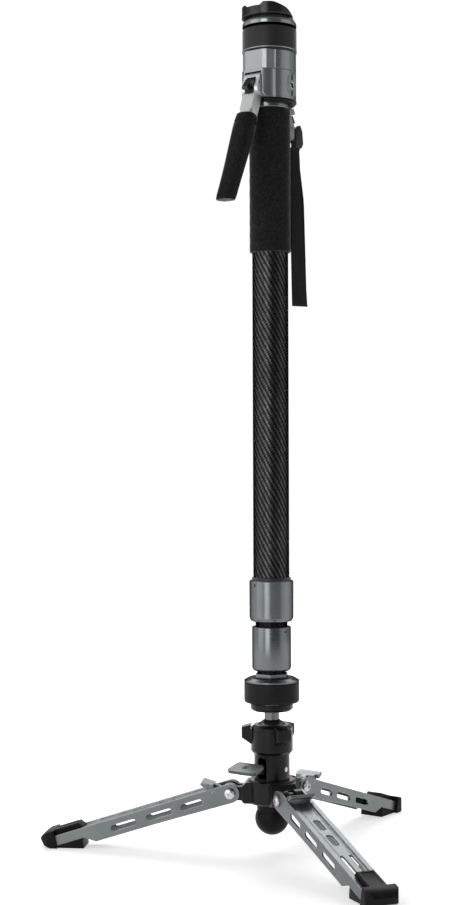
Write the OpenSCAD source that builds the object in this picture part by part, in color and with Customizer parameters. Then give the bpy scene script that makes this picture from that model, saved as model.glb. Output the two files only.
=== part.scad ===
// Camera monopod with a squeeze lever, a pan and tilt foot joint and three folding legs.
// Millimetres. The floor is z = 0, the mast stands on the Z axis, the lever and pedal face -Y.

/* [Node] */
// piece to draw

/* [Fits] */
// radial clearance between two fixed pieces
fit = 0.05; // [0.02:0.01:0.1]
// radial clearance of a pin or shaft that turns
run = 0.08; // [0.05:0.01:0.1]
// radial clearance of a tube that slides
slip = 0.12; // [0.1:0.01:0.2]
// space between pieces that pass each other
gap = 0.4; // [0.3:0.05:0.8]

/* [Mast] */
// outer diameter of the upper carbon tube
tube_d = 36; // [34:0.5:38]
// wall of every tube
tube_wall = 1.5; // [1.2:0.1:1.6]
// difference in diameter from one tube to the next
tube_step = 4; // [3.8:0.1:4.2]
// length of upper tube seen between the seal and the grip
bare_tube = 324; // [260:2:360]
// how much further each tube can be drawn out
travel = 400; // [340:5:400]
// height of each tube collar
collar_h = 41.3; // [36:0.1:46]
// how far a collar stands out from its tube
collar_wall = 4; // [3.4:0.1:4.4]
// height of the thin seal ring on the upper collar
seal_h = 3; // [2:0.1:4]
// gap between the two collars when drawn in
collar_gap = 6.7; // [4:0.1:9]
// thickness of the lip at the foot of a collar
collar_lip = 2; // [1.6:0.1:3]
// height of the bush inside a collar
bush_h = 6; // [4:0.5:10]
// diameter of the small screw in a collar
collar_screw_d = 3; // [2:0.5:4]
// length of a release rod beyond the travel
rod_grip = 75; // [70:1:90]

/* [Grip and housing] */
// outer diameter of the foam grip
grip_d = 41; // [39:0.5:44]
// length of the foam grip
grip_h = 142.5; // [120:0.5:160]
// height of the bright ring above the grip
neck_h = 4.5; // [3:0.1:6]
// thickness of the plate under the housing
plate_h = 3.4; // [3:0.1:5]
// diameter of the release housing
housing_d = 53; // [51:0.5:56]
// height of the release housing
housing_h = 28.1; // [28:0.1:30]
// height of the panel ring above it
panel_h = 19; // [17:0.5:21]
// width of the flat front panel
panel_w = 20.4; // [16:0.1:22]
// distance of the flat panel from the axis
panel_f = 27.4; // [26:0.1:29]
// distance of the nose round the lever from the axis
nose_f = 28.6; // [27:0.1:30]
// turn of the accessory socket from the front
socket_turn = 96; // [85:1:110]
// radius of the round ends of the accessory plate
socket_end_r = 8.5; // [7.5:0.1:9]
// distance of those ends from the middle of the plate
socket_half = 4.2; // [4:0.1:4.4]
// thickness of the accessory plate
socket_t = 3; // [2.4:0.1:3.6]
// radius of the boss behind the accessory plate
boss_r = 5; // [4.4:0.1:6]
// tapping diameter of the accessory thread, 1/4 inch
thread_d = 5.1; // [5:0.05:5.3]
// depth of the accessory thread
thread_depth = 9; // [7:0.5:10]

/* [Head] */
// height of the rubber lock ring
lock_h = 24; // [20:0.5:26]
// thickness of the head disc
disc_h = 8; // [6:0.5:10]
// height of the horns of the jaw above the disc
horn_h = 12.6; // [12:0.1:15]
// height of the dip between the horns
dip_h = 9.4; // [8:0.1:11]
// width of the dip between the horns
dip_w = 20.8; // [16:0.1:24]
// turn of the dip from the front
dip_turn = -7; // [-12:1:0]
// diameter of the head stud, 3/8 inch
stud_d = 9.5; // [9.4:0.1:9.6]
// free length of the head stud above the floor of the jaw
stud_free = 8.5; // [7:0.5:9.5]
// thickness of the floor of the jaw
jaw_floor = 3.5; // [3.4:0.1:4]
// radius of the post that the lock ring turns on
post_r = 16; // [14:0.5:18]

/* [Lever] */
// distance of the lever pin from the mast axis
lever_r = 24; // [23:0.5:25]
// angle of the open lever from upright
lever_open = 20.35; // [18:0.05:22]
// length of the lever from its pin to its tip
lever_len = 134; // [120:1:145]
// length of the foam on the lever
lever_foam = 94.2; // [80:0.1:104]
// width of the lever yoke
yoke_w = 19.2; // [17:0.1:19.6]
// width of the lever foam
lever_foam_w = 19; // [17:0.5:20]
// depth of the lever foam
lever_foam_t = 16; // [14:0.5:17]
// thickness of the tongue inside the lever foam
tongue_t = 5; // [4:0.5:6]
// width of the tongue inside the lever foam
tongue_w = 10; // [8:0.5:12]
// diameter of the lever pin
lever_pin_d = 4; // [3:0.5:5]
// diameter of the pin of the lever lock
lock_pin_d = 2.6; // [2:0.1:3]

/* [Foot joint] */
// diameter of the pan ring
pan_d = 55; // [53:0.5:58]
// height of the pan ring with its top plate
pan_h = 24.8; // [24:0.1:27]
// thickness of the flange under the pan ring
flange_h = 7; // [5:0.5:9]
// diameter of the ball
ball_d = 32; // [31:0.5:32.5]
// diameter of the stem on the ball
stem_d = 14.3; // [12:0.1:15]
// diameter of the ball housing
socket_d = 42; // [41.5:0.5:44]
// height of the ball housing
socket_h = 29; // [28:0.5:31]
// diameter of the tube that carries the pedal
base_tube_d = 35.4; // [35:0.2:37]
// length of that tube between hub and ball housing
base_tube_h = 25.6; // [25:0.1:28]
// width of the pedal slot
slot_w = 10.4; // [9.6:0.1:11.4]
// width of the pedal arm
arm_w = 8; // [6:0.5:8.5]
// diameter of the pedal pin
pedal_pin_d = 5; // [4:0.5:6]
// thickness of the pedal plate
pedal_t = 3.2; // [3:0.1:4]
// diameter of the screw in the pedal plate
pedal_screw_d = 4; // [3:0.5:5]
// wall of the rubber band of the pan ring
pan_band = 2.6; // [2:0.1:3]
// wall of the skirt under the pan plate
pan_skirt = 4.9; // [4:0.1:5.4]

/* [Legs] */
// height of the hub
hub_h = 24; // [22:0.5:27]
// distance of a leg pin from the mast axis
pivot_r = 41.1; // [40.5:0.1:43]
// height of a leg pin above the floor
pivot_z = 58; // [57:0.1:59]
// slope of an open leg
leg_drop = 17.5; // [17:0.1:18]
// length of a leg channel beyond its pin
leg_len = 184; // [178:1:186]
// outer width of a leg channel
leg_w = 26.8; // [25:0.2:28]
// wall of a leg channel
leg_wall = 2.2; // [1.8:0.1:2.4]
// width of the rail along each edge of a leg
rail_w = 4.4; // [3:0.1:5]
// height of those rails above the web
rail_h = 1.2; // [0.6:0.1:2]
// width of a rubber foot
foot_w = 33.3; // [31:0.1:36]
// diameter of a leg pin
leg_pin_d = 5; // [4:0.5:6]
// diameter of the head of a leg pin
leg_head_d = 11.2; // [10:0.1:12]
// diameter of the pin of a latch
latch_pin_d = 3; // [2.5:0.1:3.4]
// diameter of the rubber ball under the hub
bumper_d = 34; // [30:0.5:36]
// diameter of the stud that carries it
foot_stud_d = 10; // [8:0.5:12]

/* [Wrist strap] */
// turn of the strap from the front
strap_turn = 155; // [140:1:165]
// width of the webbing
strap_w = 16; // [12:0.5:18]
// thickness of the webbing
strap_t = 1.6; // [1.2:0.1:2]
// how far the strap hangs below its buckle
strap_drop = 156; // [120:1:170]

/* [Hidden] */
$fn = 96;
LEFT = 210;
RIGHT = 330;
REAR = 90;
LEGS = [LEFT, RIGHT, REAR];
LATCH_PIN = [15, 0, 5.5];

// heights of the stack from the floor up
hub_z = pivot_z - 10.6;
hub_top = hub_z + hub_h;
hub_floor = hub_z + 6;
socket_z = hub_top + base_tube_h;
socket_top = socket_z + socket_h;
ball_z = socket_top - 9.4;
flange_z = socket_top + 14;
pan_z = flange_z + flange_h + 1;
pan_top = pan_z + pan_h;
hex_top = pan_top + 4;
middle_z = hex_top + 3.7;
middle_top = middle_z + collar_h;
upper_z = middle_top + collar_gap;
upper_top = upper_z + collar_h;
seal_top = upper_top + seal_h;
grip_z = seal_top + bare_tube;
neck_z = grip_z + grip_h;
plate_z = neck_z + neck_h;
housing_z = plate_z + plate_h;
panel_z = housing_z + housing_h;
lock_z = panel_z + panel_h + 0.5;
disc_z = lock_z + lock_h + 2;
jaw_z = disc_z + disc_h;
jaw_top = jaw_z + horn_h;

// radii of the tubes
upper_r = tube_d / 2;
upper_in = upper_r - tube_wall;
middle_r = upper_r - tube_step / 2;
middle_in = middle_r - tube_wall;
lower_r = middle_r - tube_step / 2;
lower_in = lower_r - tube_wall;
upper_collar_r = upper_r + collar_wall;
middle_collar_r = middle_r + collar_wall - 0.5;
housing_r = housing_d / 2;
grip_r = grip_d / 2;
pan_r = pan_d / 2;
socket_r = socket_d / 2;
base_r = base_tube_d / 2;
base_in = base_r - 2.5;
ball_r = ball_d / 2;
stem_r = stem_d / 2;
liner_in = ball_r + 0.1;
liner_out = liner_in + 1.3;
cavity_r = liner_out + 0.1;
bumper_r = bumper_d / 2;
bumper_z = hub_z - 15;
hub_r = 24;
knuckle_r = 9.4;
knuckle_w = leg_w - 2 * leg_wall - 0.8;
leg_top = 9.5;
web_top = leg_top - rail_h;
leg_pin_r = leg_pin_d / 2;
lever_z = panel_z - 10.5;
relief_r = housing_r - 0.8;
pedal_z = hub_top + 10.8;
middle_tube_top = plate_z - 35;
lower_tube_top = middle_tube_top - 52;
rod_r = 3.4;
rod_tube_r = 5.5;
stud_r = stud_d / 2;
stud_foot_r = stud_r + 1.5;
thread_r = thread_d / 2;
foot_stud_r = foot_stud_d / 2;
pedal_pin_r = pedal_pin_d / 2;
pedal_screw_r = pedal_screw_d / 2;
lever_pin_r = lever_pin_d / 2;
lock_pin_r = lock_pin_d / 2;
latch_pin_r = latch_pin_d / 2;
collar_screw_r = collar_screw_d / 2;
bush_top = collar_lip + bush_h;
pan_wall_r = pan_r - pan_band;
pan_core_r = pan_wall_r - pan_skirt;
seam_z = ball_z + 2.6;
stud_depth = 14;
buckle_low = neck_z - 38;
strap_flare = strap_drop / 4;

// shared helpers

module turned(points) {
    rotate_extrude() polygon(points);
}

module ring(ro, ri, z0, z1) {
    translate([0, 0, z0])
        difference() {
            cylinder(r = ro, h = z1 - z0);
            translate([0, 0, -1]) cylinder(r = ri, h = z1 - z0 + 2);
        }
}

// a drawing in radius and height, given a width, standing along local X
module slab(points, w) {
    translate([0, w / 2, 0]) rotate([90, 0, 0]) linear_extrude(w) polygon(points);
}

// a cylinder along local Y, centred
module cross(r, w) {
    rotate([90, 0, 0]) translate([0, 0, -w / 2]) cylinder(r = r, h = w);
}

// turn from the front, towards the right hand
module front(turn) {
    rotate([0, 0, turn - 90]) children();
}

module at_leg(az) {
    rotate([0, 0, az]) translate([pivot_r, 0, pivot_z]) rotate([0, leg_drop, 0]) children();
}

module at_lever() {
    front(0) translate([lever_r, 0, lever_z]) rotate([0, -lever_open, 0]) children();
}

// hub

module base_hub() {
    color([0.06, 0.06, 0.065])
        difference() {
            union() {
                turned([[0, hub_z], [hub_r - 2, hub_z], [hub_r, hub_z + 2],
                    [hub_r, hub_top - 1.5], [hub_r - 1.5, hub_top], [0, hub_top]]);
                for (az = LEGS)
                    rotate([0, 0, az]) {
                        slab([[0, hub_z + 1], [27, hub_z + 1], [pivot_r - 11.6, hub_z + 4],
                            [pivot_r - 11.6, hub_top - 7], [25, hub_top - 2], [0, hub_top - 2]], 27);
                        slab([[0, pivot_z - 7], [pivot_r, pivot_z - 7], [pivot_r, pivot_z + 6.5],
                            [0, pivot_z + 6.5]], knuckle_w);
                        translate([pivot_r, 0, pivot_z]) cross(knuckle_r, knuckle_w);
                    }
            }
            translate([0, 0, hub_floor]) cylinder(r = base_r + fit, h = hub_h);
            translate([0, 0, hub_z - 1]) cylinder(r = foot_stud_r + fit, h = 10);
            for (az = LEGS)
                rotate([0, 0, az]) translate([pivot_r, 0, pivot_z]) {
                    cross(leg_pin_r + fit, 60);
                    latch_track();
                }
        }
}

// track in the knuckle for the nose of a latch
module latch_track() {
    difference() {
        intersection() {
            cross(knuckle_r + 4, 7.6);
            slab([[0, 0], [40, 6], [40, 40], [-26, 40], [-26, 15]], 7.6);
        }
        cross(knuckle_r - 2.3, 20);
    }
}

module foot_stud() {
    color([0.6, 0.6, 0.62])
        translate([0, 0, hub_z - stud_depth]) cylinder(r = foot_stud_r, h = stud_depth + 5);
}

module bumper() {
    color([0.05, 0.05, 0.05])
        difference() {
            union() {
                translate([0, 0, bumper_z]) sphere(r = bumper_r);
                translate([0, 0, hub_z - 9]) cylinder(r = 15, h = 9 - fit);
            }
            translate([0, 0, hub_z - stud_depth - fit]) cylinder(r = foot_stud_r + fit, h = 20);
            translate([0, 0, bumper_z - bumper_r - 1]) cylinder(r = bumper_r, h = 1.4);
            translate([0, 0, hub_z - fit]) cylinder(r = bumper_r, h = bumper_r);
        }
}

module base_tube() {
    color([0.09, 0.09, 0.095])
        difference() {
            ring(base_r, base_in, hub_floor + fit, socket_z - fit);
            front(0) {
                translate([0, -slot_w / 2, hub_top + 1.6])
                    cube([base_r + 5, slot_w, base_tube_h - 3.2 - slot_w / 2]);
                translate([0, 0, socket_z - 1.6 - slot_w / 2])
                    rotate([0, 90, 0]) cylinder(r = slot_w / 2, h = base_r + 5);
            }
            front(0) translate([0, 0, pedal_z]) cross(pedal_pin_r + fit, 60);
        }
}

module leg_pins() {
    color([0.62, 0.63, 0.65])
        for (az = LEGS)
            at_leg(az) {
                cross(leg_pin_r, leg_w + 1);
                for (s = [-1, 1])
                    rotate([-90 * s, 0, 0]) translate([0, 0, leg_w / 2 + 0.3]) button_head();
            }
}

// a low domed screw head with a hexagon socket
module button_head() {
    r = leg_head_d / 2;
    difference() {
        turned([[0, 0], [r, 0], [r, 0.9], [r - 0.5, 2], [r - 1.7, 2.9], [r - 3.2, 3.3], [0, 3.3]]);
        translate([0, 0, 1.5]) cylinder(r = leg_pin_r - 0.6, h = 4, $fn = 6);
    }
}

// ball housing, lugs for the folded legs, retaining cap

module socket_body() {
    color([0.06, 0.06, 0.065])
        difference() {
            union() {
                turned([[0, socket_z - 3.6], [base_in - fit, socket_z - 3.6], [base_in - fit, socket_z],
                    [socket_r - 2.5, socket_z], [socket_r, socket_z + 3], [socket_r, seam_z], [0, seam_z]]);
                for (az = LEGS)
                    rotate([0, 0, az])
                        intersection() {
                            slab([[15, ball_z - 9.6], [socket_r - 0.3, ball_z - 9.6],
                                [socket_r + 10, ball_z - 2.6], [socket_r + 10, ball_z + 6.4],
                                [socket_r - 0.1, ball_z + 9.2], [socket_r - 0.1, seam_z],
                                [15, seam_z]], 14.4);
                            translate([0, 0, ball_z - 20]) cylinder(r = socket_r + 9.4, h = 40);
                        }
            }
            translate([0, 0, ball_z]) sphere(r = cavity_r);
            translate([0, 0, socket_z - 10]) cylinder(r = 7, h = 20);
        }
}

module socket_cap() {
    lip = ball_z + 7.6;
    cap_r = socket_r - 0.5;
    color([0.08, 0.08, 0.085])
        difference() {
            turned([[0, seam_z + 0.1], [cap_r, seam_z + 0.1], [cap_r, socket_top - 3],
                [cap_r - 3, socket_top], [0, socket_top]]);
            intersection() {
                translate([0, 0, ball_z]) sphere(r = cavity_r);
                translate([0, 0, ball_z - 30]) cylinder(r = 40, h = lip - ball_z + 30);
            }
            translate([0, 0, ball_z]) sphere(r = ball_r + 0.2);
            translate([0, 0, socket_top - 0.8]) cylinder(r1 = 12.8, r2 = 14.6, h = 1);
        }
}

// pedal, its pin and the brake under the ball

module pedal_pin() {
    color([0.65, 0.66, 0.68])
        front(0) translate([0, 0, pedal_z]) cross(pedal_pin_r, base_tube_d - 0.6);
}

module pedal_arm() {
    color([0.07, 0.07, 0.075])
        front(0) translate([0, 0, pedal_z])
            difference() {
                union() {
                    cross(5.6, arm_w);
                    slab([[-8, -3], [0, -5.6], [20, -3], [40, 0], [51.4, 0.6],
                        [51.6, 1.5], [36, 6.2], [30, 4.6], [16, 3.4], [0, 5.6], [-8, 6]], arm_w);
                }
                cross(pedal_pin_r + run, 30);
                pedal_axis() translate([0, 0, -12]) cylinder(r = pedal_screw_r + fit, h = 20);
            }
}

// centre of the pedal plate on the face where the arm carries it
module pedal_axis() {
    translate([44, 0, 3.8]) rotate([0, 16.5, 0]) children();
}

module pedal_plate() {
    color([0.55, 0.56, 0.58])
        front(0) translate([0, 0, pedal_z]) pedal_axis()
            difference() {
                translate([0, 0, 0.08]) linear_extrude(pedal_t)
                    polygon([[-9.6, -13.4], [-7.2, -15.8], [7, -17], [9.6, -14.4], [9.6, 14.4],
                        [7, 17], [-7.2, 15.8], [-9.6, 13.4]]);
                translate([0, 0, -1]) cylinder(r = pedal_screw_r + fit, h = 6);
                translate([0, 0, pedal_t - 1.6]) cylinder(r = pedal_screw_r + 1.6 + fit, h = 4);
            }
}

module pedal_screw() {
    color([0.2, 0.2, 0.21])
        front(0) translate([0, 0, pedal_z]) pedal_axis()
            difference() {
                union() {
                    translate([0, 0, -4]) cylinder(r = pedal_screw_r, h = pedal_t + 2.8);
                    translate([0, 0, pedal_t - 1.5]) cylinder(r = pedal_screw_r + 1.6, h = 1.3);
                }
                translate([0, 0, pedal_t - 1.2]) cylinder(r = pedal_screw_r - 0.5, h = 2, $fn = 6);
            }
}

module brake_plunger() {
    color([0.6, 0.6, 0.62]) {
        translate([0, 0, pedal_z + 8.6]) cylinder(r = 4, h = socket_z - 1 - pedal_z - 8);
        translate([0, 0, socket_z - 1]) cylinder(r = 6.6, h = ball_z - ball_r - socket_z - 1);
    }
}

// legs

module leg_channel(az) {
    slots = [[40.4, 22.9], [74.9, 27.6], [112.6, 27.6]];
    color([0.5, 0.51, 0.53])
        at_leg(az)
            difference() {
                union() {
                    slab([[0, leg_top], [leg_len, leg_top], [leg_len, -0.3], [155, -0.3], [144, -7.5],
                        [74, -7.9], [0, -9.5]], leg_w);
                    cross(leg_top, leg_w);
                }
                translate([-30, -leg_w / 2 + leg_wall, -40])
                    cube([leg_len + 60, leg_w - 2 * leg_wall, 40 + web_top - leg_wall]);
                translate([-30, -leg_w / 2 + leg_wall, 0]) cube([52.2, leg_w - 2 * leg_wall, 30]);
                translate([-30, -leg_w / 2 + rail_w, web_top])
                    cube([leg_len + 60, leg_w - 2 * rail_w, 30]);
                cross(leg_pin_r + run, 60);
                translate(LATCH_PIN) cross(latch_pin_r + run, 60);
                for (s = slots)
                    translate([s[0], 0, 0.3]) slot_through(s[1], 6.2, 60);
                for (a = [65, 93])
                    translate([a, 0, 0]) top_slot(20, 7);
                for (y = [-1, 1])
                    translate([138, y * 4.6, 0]) top_slot(36, 3.8);
                for (y = [-1, 1])
                    translate([24, y * 6.4 - 0.25, web_top - 0.35]) cube([leg_len, 0.5, 1]);
            }
}

// a slot with round ends across a leg, seen from the side
module slot_through(l, h, w) {
    for (s = [-1, 1])
        translate([s * (l - h) / 2, 0, 0]) cross(h / 2, w);
    translate([-(l - h) / 2, -w / 2, -h / 2]) cube([l - h, w, h]);
}

// a slot with round ends in the top of a leg
module top_slot(l, w) {
    for (s = [-1, 1])
        translate([s * (l - w) / 2, 0, 0]) cylinder(r = w / 2, h = 30);
    translate([-(l - w) / 2, -w / 2, 0]) cube([l - w, w, 30]);
}

// the walls of a channel end, grown by the fit, to be cut from its rubber foot
module channel_end() {
    translate([100, -leg_w / 2 - fit, web_top - leg_wall - fit])
        cube([leg_len - 100 + fit, leg_w + 2 * fit, leg_wall + 2 * fit]);
    for (s = [-1, 1]) {
        translate([100, s * (leg_w - leg_wall) / 2 - leg_wall / 2 - fit, -0.3 - fit])
            cube([leg_len - 100 + fit, leg_wall + 2 * fit, leg_top]);
        translate([100, s * (leg_w - rail_w) / 2 - rail_w / 2 - fit, web_top - leg_wall - fit])
            cube([leg_len - 100 + fit, rail_w + 2 * fit, rail_h + leg_wall + 2 * fit]);
    }
    translate([100, -leg_w / 2 - fit, -30]) cube([55 + fit, leg_w + 2 * fit, 29.7 + leg_top]);
}

module foot(az) {
    tip = pivot_r + cos(leg_drop) * leg_len - 216.6;
    color([0.045, 0.045, 0.045])
        difference() {
            union() {
                rotate([0, 0, az]) translate([tip, 0, 0]) {
                    slab([[189, 0], [222, 0], [222, 7.5], [191, 17.2]], leg_w - 0.4);
                    intersection() {
                        slab([[215.6, 0], [222.9, 0], [229.5, 2.6], [233.4, 9.2], [231.8, 12.2], [228, 14.8],
                            [219.8, 17.4]], foot_w);
                        linear_extrude(60)
                            polygon([[210, -foot_w / 2], [226, -foot_w / 2], [234, -foot_w / 2 + 5],
                                [234, foot_w / 2 - 5], [226, foot_w / 2], [210, foot_w / 2]]);
                    }
                }
                at_leg(az)
                    slab([[leg_len - 31, web_top + fit], [leg_len + 3, web_top + fit],
                        [leg_len + 3, leg_top + 5.2], [leg_len - 26.5, leg_top + 5.2]],
                        leg_w - 2 * rail_w - 2 * gap);
            }
            at_leg(az) channel_end();
        }
}

module latch(az) {
    color([0.58, 0.59, 0.61])
        at_leg(az) {
            slab([[13.8, 3.4], [19.6, 3.4], [19.6, 9], [24.2, 14.4], [22, 17], [14.2, 12.6]], knuckle_w);
            intersection() {
                slab([[21.8, 11.3], [26.2, 16.6], [24.6, 18.7], [18.6, 14.6]], leg_w + 0.2);
                translate([0, 0, -10]) linear_extrude(60)
                    polygon([[0, -leg_w], [22, -leg_w / 2 - 0.1], [25, -leg_w / 2 - 0.1],
                        [30, -leg_w / 2 + 6], [30, leg_w / 2 - 6], [25, leg_w / 2 + 0.1],
                        [22, leg_w / 2 + 0.1], [0, leg_w]]);
            }
            slab([[5.4, 5.6], [6.5, 4.4], [14.4, 8.5], [14.4, 13]], 6.8);
            translate(LATCH_PIN) cross(latch_pin_r, leg_w);
        }
}

module leg_left() leg_channel(LEFT);
module leg_right() leg_channel(RIGHT);
module leg_rear() leg_channel(REAR);
module foot_left() foot(LEFT);
module foot_right() foot(RIGHT);
module foot_rear() foot(REAR);
module latch_left() latch(LEFT);
module latch_right() latch(RIGHT);
module latch_rear() latch(REAR);

// ball joint and pan ring

module ball_liner() {
    color([0.75, 0.75, 0.72])
        intersection() {
            translate([0, 0, ball_z])
                difference() {
                    sphere(r = liner_out);
                    sphere(r = liner_in);
                }
            translate([0, 0, ball_z - 8]) cylinder(r = 30, h = 10);
        }
}

module ball_stem() {
    color([0.5, 0.51, 0.53]) {
        translate([0, 0, ball_z]) sphere(r = ball_r);
        translate([0, 0, ball_z]) cylinder(r = stem_r, h = flange_z + flange_h - ball_z);
    }
}

module pan_flange() {
    flange_r = pan_r - 6.2;
    color([0.07, 0.07, 0.075])
        difference() {
            turned([[0, flange_z], [flange_r - 2, flange_z], [flange_r, flange_z + 2],
                [flange_r, flange_z + flange_h - 0.6], [flange_r - 0.6, flange_z + flange_h],
                [0, flange_z + flange_h]]);
            translate([0, 0, flange_z - 1]) cylinder(r = stem_r + fit, h = flange_h + 2);
        }
}

module pan_core() {
    top = pan_top - 5.6;
    color([0.5, 0.5, 0.52])
        turned([[0, flange_z + flange_h + fit], [pan_core_r, flange_z + flange_h + fit],
            [pan_core_r, top], [0, top]]);
}

module pan_plate() {
    color([0.5, 0.51, 0.53])
        difference() {
            turned([[0, pan_top - 5.2], [pan_core_r + run, pan_top - 5.2], [pan_core_r + run, pan_z + 0.4],
                [pan_wall_r, pan_z + 0.4], [pan_wall_r, pan_top - 4], [pan_r, pan_top - 4],
                [pan_r, pan_top - 2.6], [pan_r - 4.4, pan_top], [0, pan_top]]);
            translate([0, 0, pan_top - 4]) cylinder(r = lower_r + fit, h = 10);
            for (a = [-25, 95, 215])
                front(a) translate([pan_r - 4.2, 0, pan_top - 3]) cylinder(r = 2, h = 6);
        }
}

module hex_collar() {
    color([0.52, 0.53, 0.55])
        difference() {
            translate([0, 0, pan_top + fit])
                cylinder(r = lower_r + 3.6, h = hex_top - pan_top - fit, $fn = 6);
            translate([0, 0, pan_top - 1]) cylinder(r = lower_r + fit, h = 10);
        }
}

module pan_ring() {
    inner = pan_wall_r + run;
    top = pan_top - 4.3;
    color([0.045, 0.045, 0.045])
        turned([[inner, pan_z + 0.2], [pan_r - 1.6, pan_z + 0.2], [pan_r - 0.5, pan_z + 0.8],
            [pan_r, pan_z + 2.2], [pan_r, top - 0.6], [pan_r - 0.6, top], [inner, top]]);
}

// tubes, collars and clutches

module lower_tube() {
    color([0.05, 0.05, 0.055]) ring(lower_r, lower_in, pan_top - 4 + fit, lower_tube_top);
}

module lower_clutch() {
    color([0.3, 0.3, 0.32])
        difference() {
            union() {
                translate([0, 0, lower_tube_top + fit]) cylinder(r = middle_in - slip, h = 20);
                translate([0, 0, lower_tube_top - 14]) cylinder(r = lower_in - fit, h = 20);
            }
            translate([0, 0, lower_tube_top - 20]) cylinder(r = rod_tube_r + gap, h = 60);
        }
}

module middle_tube() {
    color([0.05, 0.05, 0.055]) ring(middle_r, middle_in, middle_z + bush_top + fit, middle_tube_top);
}

module middle_collar() {
    r = middle_collar_r;
    color([0.5, 0.51, 0.53])
        difference() {
            turned([[lower_r + gap, middle_z], [r - 4, middle_z], [r - 1.6, middle_z + 1],
                [r, middle_z + 4], [r, middle_top - 1], [r - 1, middle_top], [middle_r + fit, middle_top],
                [middle_r + fit, middle_z + collar_lip], [lower_r + gap, middle_z + collar_lip]]);
            front(81) translate([r - 2, 0, middle_top - 3.3])
                rotate([0, 90, 0]) cylinder(r = collar_screw_r + fit, h = 5);
        }
}

module middle_bush() {
    color([0.1, 0.1, 0.1]) ring(middle_r, lower_r + slip, middle_z + collar_lip + fit, middle_z + bush_top);
}

module middle_screw() {
    color([0.05, 0.05, 0.05])
        front(81) translate([middle_collar_r - 1.95, 0, middle_top - 3.3])
            rotate([0, 90, 0]) cylinder(r = collar_screw_r, h = 1.6);
}

module middle_clutch() {
    color([0.3, 0.3, 0.32])
        difference() {
            union() {
                translate([0, 0, middle_tube_top + fit]) cylinder(r = upper_in - slip, h = 16);
                translate([0, 0, middle_tube_top - 14]) cylinder(r = middle_in - fit, h = 20);
            }
            translate([0, 0, middle_tube_top - 20]) cylinder(r = rod_tube_r + run, h = 60);
        }
}

module middle_rod() {
    top = middle_tube_top + 16 + 2 * fit;
    color([0.6, 0.6, 0.62])
        difference() {
            union() {
                translate([0, 0, top - travel - rod_grip]) cylinder(r = rod_tube_r, h = travel + rod_grip);
                translate([0, 0, top]) cylinder(r = 9, h = 4);
            }
            translate([0, 0, top - travel - rod_grip - 5])
                cylinder(r = rod_r + 0.5, h = travel + rod_grip + 20, $fn = 6);
        }
}

module upper_tube() {
    color([0.05, 0.05, 0.055]) ring(upper_r, upper_in, upper_z + bush_top + fit, plate_z - 1);
}

module upper_collar() {
    r = upper_collar_r;
    color([0.5, 0.51, 0.53])
        difference() {
            turned([[middle_r + gap, upper_z], [r - 4, upper_z], [r - 1.6, upper_z + 1], [r, upper_z + 4],
                [r, upper_top - 1], [r - 1, upper_top], [upper_r + fit, upper_top],
                [upper_r + fit, upper_z + collar_lip], [middle_r + gap, upper_z + collar_lip]]);
            front(-14) translate([r - 2, 0, upper_top - 4.3])
                rotate([0, 90, 0]) cylinder(r = collar_screw_r + fit, h = 5);
        }
}

module upper_bush() {
    color([0.1, 0.1, 0.1]) ring(upper_r, middle_r + slip, upper_z + collar_lip + fit, upper_z + bush_top);
}

module upper_screw() {
    color([0.05, 0.05, 0.05])
        front(-14) translate([upper_collar_r - 1.95, 0, upper_top - 4.3])
            rotate([0, 90, 0]) cylinder(r = collar_screw_r, h = 1.6);
}

module tube_seal() {
    color([0.04, 0.04, 0.04])
        turned([[upper_r + fit, upper_top + fit], [upper_r + 1.6, upper_top + fit],
            [upper_r + 1.6, seal_top - 0.8], [upper_r + 0.8, seal_top], [upper_r + fit, seal_top]]);
}

// grip, neck and housing

module grip() {
    color([0.08, 0.08, 0.085])
        turned([[upper_r + fit, grip_z], [grip_r - 1, grip_z], [grip_r, grip_z + 1], [grip_r, neck_z - 1],
            [grip_r - 0.8, neck_z - 0.2], [upper_r + fit, neck_z - 0.2]]);
}

module neck_ring() {
    color([0.6, 0.61, 0.63])
        turned([[upper_r + fit, neck_z], [grip_r - 0.5, neck_z], [grip_r, neck_z + 0.5],
            [grip_r, plate_z - fit], [upper_r + fit, plate_z - fit]]);
}

module housing_plate() {
    color([0.05, 0.05, 0.055])
        difference() {
            turned([[0, plate_z], [housing_r - 1.2, plate_z], [housing_r + 0.4, plate_z + 1.6],
                [housing_r + 0.4, housing_z - fit], [0, housing_z - fit]]);
            translate([0, 0, plate_z - 1]) cylinder(r = rod_r + 3, h = 20);
            lever_mouth(plate_z - 1, housing_z + 1, 19.6);
        }
}

// opening at the front for the lever yoke
module lever_mouth(z0, z1, depth) {
    front(0) translate([depth, -yoke_w / 2 - gap, z0]) cube([40, yoke_w + 2 * gap, z1 - z0]);
}

module at_socket() {
    front(socket_turn) translate([housing_r - 4, 0, housing_z + 14.2]) rotate([0, 90, 0]) children();
}

module socket_shape(r, h) {
    for (s = [-1, 1])
        translate([s * socket_half, 0, 0]) cylinder(r = r, h = h);
    translate([-socket_half, -r, 0]) cube([2 * socket_half, 2 * r, h]);
}

// the front third of the housing stands back, with a bevel along each side of it
module front_relief(z0, h) {
    side = 42.4;
    translate([0, 0, z0]) {
        difference() {
            front(0) linear_extrude(h) polygon([[0, 0], [60 * cos(side), -60 * sin(side)], [60, 0],
                [60 * cos(side), 60 * sin(side)]]);
            translate([0, 0, -1]) cylinder(r = relief_r, h = h + 2);
        }
        for (m = [-1, 1])
            front(0) linear_extrude(h)
                polygon([[relief_r * cos(side - 1), m * relief_r * sin(side - 1)],
                    [relief_r * cos(side), m * relief_r * sin(side)],
                    [27.5 * cos(54), m * 27.5 * sin(54)],
                    [40 * cos(54), m * 40 * sin(54)], [40 * cos(side - 1), m * 40 * sin(side - 1)]]);
    }
}

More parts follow.
